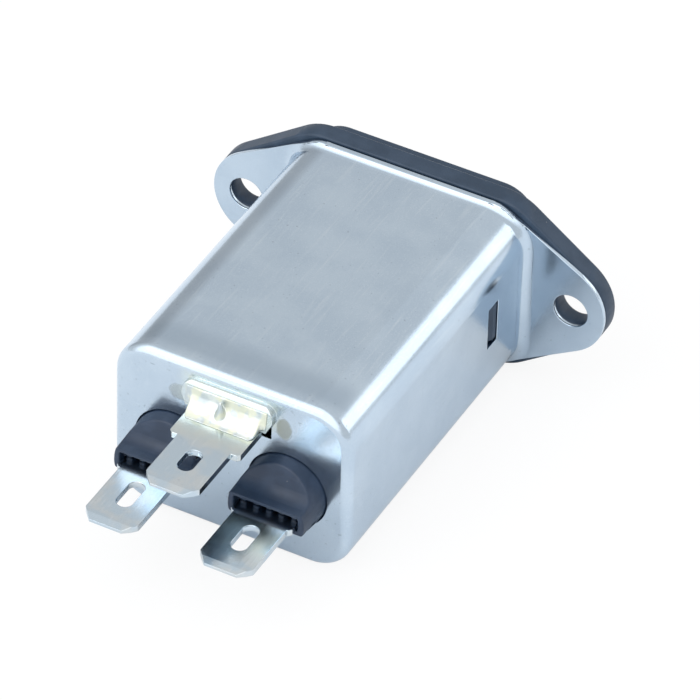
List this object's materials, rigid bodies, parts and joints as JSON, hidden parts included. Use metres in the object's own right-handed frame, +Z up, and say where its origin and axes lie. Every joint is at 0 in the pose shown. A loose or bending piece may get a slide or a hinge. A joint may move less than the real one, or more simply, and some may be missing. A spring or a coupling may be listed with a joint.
{
  "type": "mains inlet line filter",
  "caption": "Metal-canned mains inlet filter: flanged box with a recessed plug inlet in front and flat blade terminals in bushings behind.",
  "frame": {"origin": "midway between the two screw holes, on the face of the metal flange that meets a panel", "axes": "+X from one screw hole to the other, +Y from the inlet to the terminals, +Z up to the earth side"},
  "size_m": [0.048, 0.0579, 0.0226],
  "materials": {
    "nickel_plate": "satin nickel plate on drawn steel",
    "dark_moulding": "satin, moulded",
    "plated_pin": "nickel plated, smooth",
    "dark_bushing": "satin, moulded",
    "tinned_blade": "tin plated, satin",
    "solder": "dull, with flux left on it",
    "ferrite": "green epoxy coating",
    "pale_fibre": "pressed fibre board",
    "enamelled_copper": "clear enamel on copper",
    "yellow_case": "moulded box filled with resin",
    "blue_epoxy": "dipped epoxy",
    "tinned_lead": "tinned copper wire",
    "resistor_body": "lacquered ceramic rod",
    "wire_sheath": "green and yellow sheath",
    "liner_board": "pressed insulating board"
  },
  "bodies": {
    "root": {"case": "nickel_plate", "inlet_body": "dark_moulding", "line_pin": "plated_pin", "neutral_pin": "plated_pin", "earth_pin": "plated_pin", "line_bushing": "dark_bushing", "neutral_bushing": "dark_bushing", "line_terminal": "tinned_blade", "neutral_terminal": "tinned_blade", "earth_terminal": "tinned_blade", "earth_solder": "solder", "choke_core": "ferrite", "choke_divider": "pale_fibre", "line_winding": "enamelled_copper", "neutral_winding": "enamelled_copper", "x_capacitor": "yellow_case", "x_capacitor_line_lead": "tinned_lead", "x_capacitor_neutral_lead": "tinned_lead", "line_y_capacitor": "blue_epoxy", "line_y_capacitor_live_lead": "tinned_lead", "line_y_capacitor_earth_lead": "tinned_lead", "neutral_y_capacitor": "blue_epoxy", "neutral_y_capacitor_live_lead": "tinned_lead", "neutral_y_capacitor_earth_lead": "tinned_lead", "bleed_resistor": "resistor_body", "bleed_resistor_line_lead": "tinned_lead", "bleed_resistor_neutral_lead": "tinned_lead", "earth_wire": "wire_sheath", "insulating_liner": "liner_board"}
  },
  "joints": []
}
